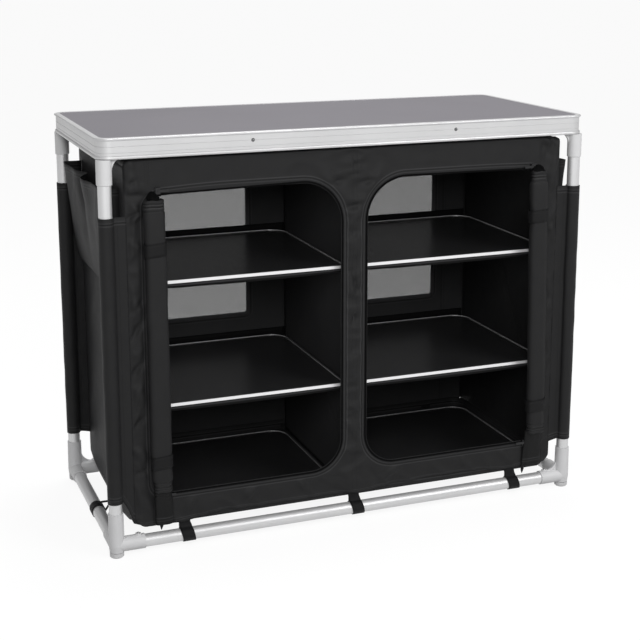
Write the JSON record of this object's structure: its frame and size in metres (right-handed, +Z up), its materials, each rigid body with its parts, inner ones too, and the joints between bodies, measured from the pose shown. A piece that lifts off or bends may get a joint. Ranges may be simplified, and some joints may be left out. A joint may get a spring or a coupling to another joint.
{
  "type": "folding camping cupboard",
  "caption": "Folding camping cupboard: edged worktop on a tube frame with a hung cloth body, rolled-up doors, netted back windows, side pockets and lift-out shelves.",
  "frame": {"origin": "centre of the footprint on the floor", "axes": "+X along the long side to the right seen from the front, -Y towards the front with its two doors, +Z up"},
  "size_m": [1, 0.4515, 0.8],
  "materials": {
    "cover_cloth": "coated woven cloth",
    "webbing": "woven tape",
    "window_net": "open mesh",
    "zip_tape": "woven tape with coil",
    "worktop_board": "matt laminate",
    "rail_aluminium": "satin anodised",
    "frame_tube": "satin anodised",
    "rivet_metal": "bright",
    "socket_plastic": "satin moulded",
    "connector_plastic": "satin moulded",
    "foot_plastic": "soft moulded",
    "button_steel": "bright",
    "shelf_board": "satin laminate",
    "shelf_rim": "satin",
    "zip_metal": "plated"
  },
  "bodies": {
    "cupboard": {"front_panel": "cover_cloth", "back_panel": "cover_cloth", "side_wall_left": "cover_cloth", "side_wall_right": "cover_cloth", "roof_panel": "cover_cloth", "floor_panel": "cover_cloth", "centre_divider": "cover_cloth", "leg_sleeves_front": "cover_cloth", "leg_sleeves_back": "cover_cloth", "side_pocket_left": "cover_cloth", "side_pocket_right": "cover_cloth", "rolled_door_left": "cover_cloth", "rolled_door_right": "cover_cloth", "roll_ties": "webbing", "shelf_slings": "cover_cloth", "base_straps": "webbing", "window_nets": "window_net", "zip_tracks": "zip_tape", "foot_caps": "foot_plastic", "base_connector_front_left": "connector_plastic", "base_connector_front_right": "connector_plastic", "base_connector_back_left": "connector_plastic", "base_connector_back_right": "connector_plastic", "base_tube_front": "frame_tube", "base_tube_back": "frame_tube", "base_tube_left": "frame_tube", "base_tube_right": "frame_tube"},
    "worktop": {"table_board": "worktop_board", "table_rail": "rail_aluminium", "table_crossbars": "frame_tube", "table_rivets": "rivet_metal", "table_socket_front_left": "socket_plastic", "table_socket_front_right": "socket_plastic", "table_socket_back_left": "socket_plastic", "table_socket_back_right": "socket_plastic"},
    "legs": {"leg_front_left": "frame_tube", "leg_front_right": "frame_tube", "leg_back_left": "frame_tube", "leg_back_right": "frame_tube"},
    "button_front_left": {"snap_button_front_left": "button_steel"},
    "button_front_right": {"snap_button_front_right": "button_steel"},
    "button_back_left": {"snap_button_back_left": "button_steel"},
    "button_back_right": {"snap_button_back_right": "button_steel"},
    "shelf_left_upper": {"shelf_board_left_upper": "shelf_board", "shelf_rim_left_upper": "shelf_rim"},
    "shelf_left_middle": {"shelf_board_left_middle": "shelf_board", "shelf_rim_left_middle": "shelf_rim"},
    "shelf_left_floor": {"shelf_board_left_floor": "shelf_board", "shelf_rim_left_floor": "shelf_rim"},
    "slider_left_top": {"zip_slider_left_top": "zip_metal"},
    "slider_left_bottom": {"zip_slider_left_bottom": "zip_metal"},
    "shelf_right_upper": {"shelf_board_right_upper": "shelf_board", "shelf_rim_right_upper": "shelf_rim"},
    "shelf_right_middle": {"shelf_board_right_middle": "shelf_board", "shelf_rim_right_middle": "shelf_rim"},
    "shelf_right_floor": {"shelf_board_right_floor": "shelf_board", "shelf_rim_right_floor": "shelf_rim"},
    "slider_right_top": {"zip_slider_right_top": "zip_metal"},
    "slider_right_bottom": {"zip_slider_right_bottom": "zip_metal"}
  },
  "joints": [
    {"name": "legs_lift", "type": "slide", "parent": "cupboard", "child": "legs", "axis": [0, 0, 1], "range_m": [0, 0.04]},
    {"name": "worktop_lift", "type": "slide", "parent": "legs", "child": "worktop", "axis": [0, 0, 1], "range_m": [0, 0.06]},
    {"name": "button_press_front_left", "type": "slide", "parent": "cupboard", "child": "button_front_left", "axis": [0, 0, -1], "range_m": [0, 0.003], "stiffness_N_per_m": 1500},
    {"name": "button_press_front_right", "type": "slide", "parent": "cupboard", "child": "button_front_right", "axis": [0, 0, -1], "range_m": [0, 0.003], "stiffness_N_per_m": 1500},
    {"name": "button_press_back_left", "type": "slide", "parent": "cupboard", "child": "button_back_left", "axis": [0, 0, -1], "range_m": [0, 0.003], "stiffness_N_per_m": 1500},
    {"name": "button_press_back_right", "type": "slide", "parent": "cupboard", "child": "button_back_right", "axis": [0, 0, -1], "range_m": [0, 0.003], "stiffness_N_per_m": 1500},
    {"name": "shelf_lift_left_upper", "type": "slide", "parent": "cupboard", "child": "shelf_left_upper", "axis": [0, 0, 1], "range_m": [0, 0.15]},
    {"name": "shelf_lift_left_middle", "type": "slide", "parent": "cupboard", "child": "shelf_left_middle", "axis": [0, 0, 1], "range_m": [0, 0.15]},
    {"name": "shelf_lift_left_floor", "type": "slide", "parent": "cupboard", "child": "shelf_left_floor", "axis": [0, 0, 1], "range_m": [0, 0.15]},
    {"name": "zip_left_top", "type": "slide", "parent": "cupboard", "child": "slider_left_top", "axis": [1, 0, 0], "range_m": [0, 0.25]},
    {"name": "zip_left_bottom", "type": "slide", "parent": "cupboard", "child": "slider_left_bottom", "axis": [1, 0, 0], "range_m": [0, 0.25]},
    {"name": "shelf_lift_right_upper", "type": "slide", "parent": "cupboard", "child": "shelf_right_upper", "axis": [0, 0, 1], "range_m": [0, 0.15]},
    {"name": "shelf_lift_right_middle", "type": "slide", "parent": "cupboard", "child": "shelf_right_middle", "axis": [0, 0, 1], "range_m": [0, 0.15]},
    {"name": "shelf_lift_right_floor", "type": "slide", "parent": "cupboard", "child": "shelf_right_floor", "axis": [0, 0, 1], "range_m": [0, 0.15]},
    {"name": "zip_right_top", "type": "slide", "parent": "cupboard", "child": "slider_right_top", "axis": [-1, 0, 0], "range_m": [0, 0.25]},
    {"name": "zip_right_bottom", "type": "slide", "parent": "cupboard", "child": "slider_right_bottom", "axis": [-1, 0, 0], "range_m": [0, 0.25]}
  ]
}
